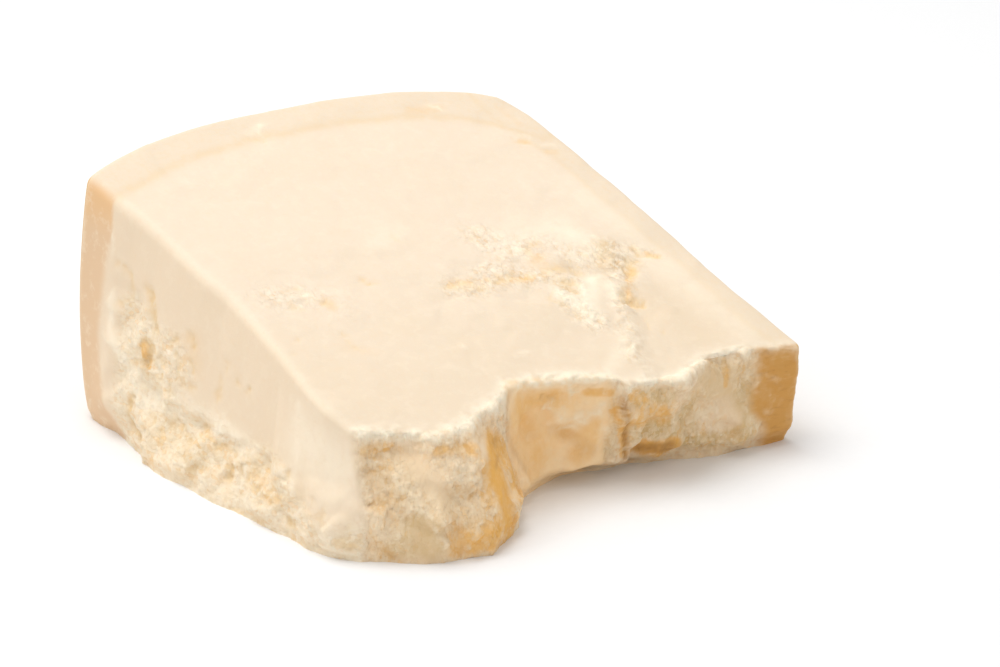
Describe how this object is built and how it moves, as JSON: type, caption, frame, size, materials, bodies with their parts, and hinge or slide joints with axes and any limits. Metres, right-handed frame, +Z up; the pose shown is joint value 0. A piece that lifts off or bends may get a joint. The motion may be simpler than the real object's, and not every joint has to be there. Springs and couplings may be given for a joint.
{
  "type": "hard cheese chunk",
  "caption": "Big chunk broken from a wheel of hard, grainy cheese: wedge lying on a cut face, with a rounded rind heel, a flat rind side, a crumbly split side and a scooped, broken front.",
  "frame": {"origin": "on the floor under the middle of the chunk's box", "axes": "+Z up from the face it lies on, +Y towards the rounded rind heel, +X towards the flat rind side"},
  "size_m": [0.1724, 0.176, 0.0832],
  "materials": {
    "paste": "dull, pale ivory, grainy paste; tan rind on the heel and the right side"
  },
  "bodies": {
    "root": {"cheese_chunk": "paste"}
  },
  "joints": []
}
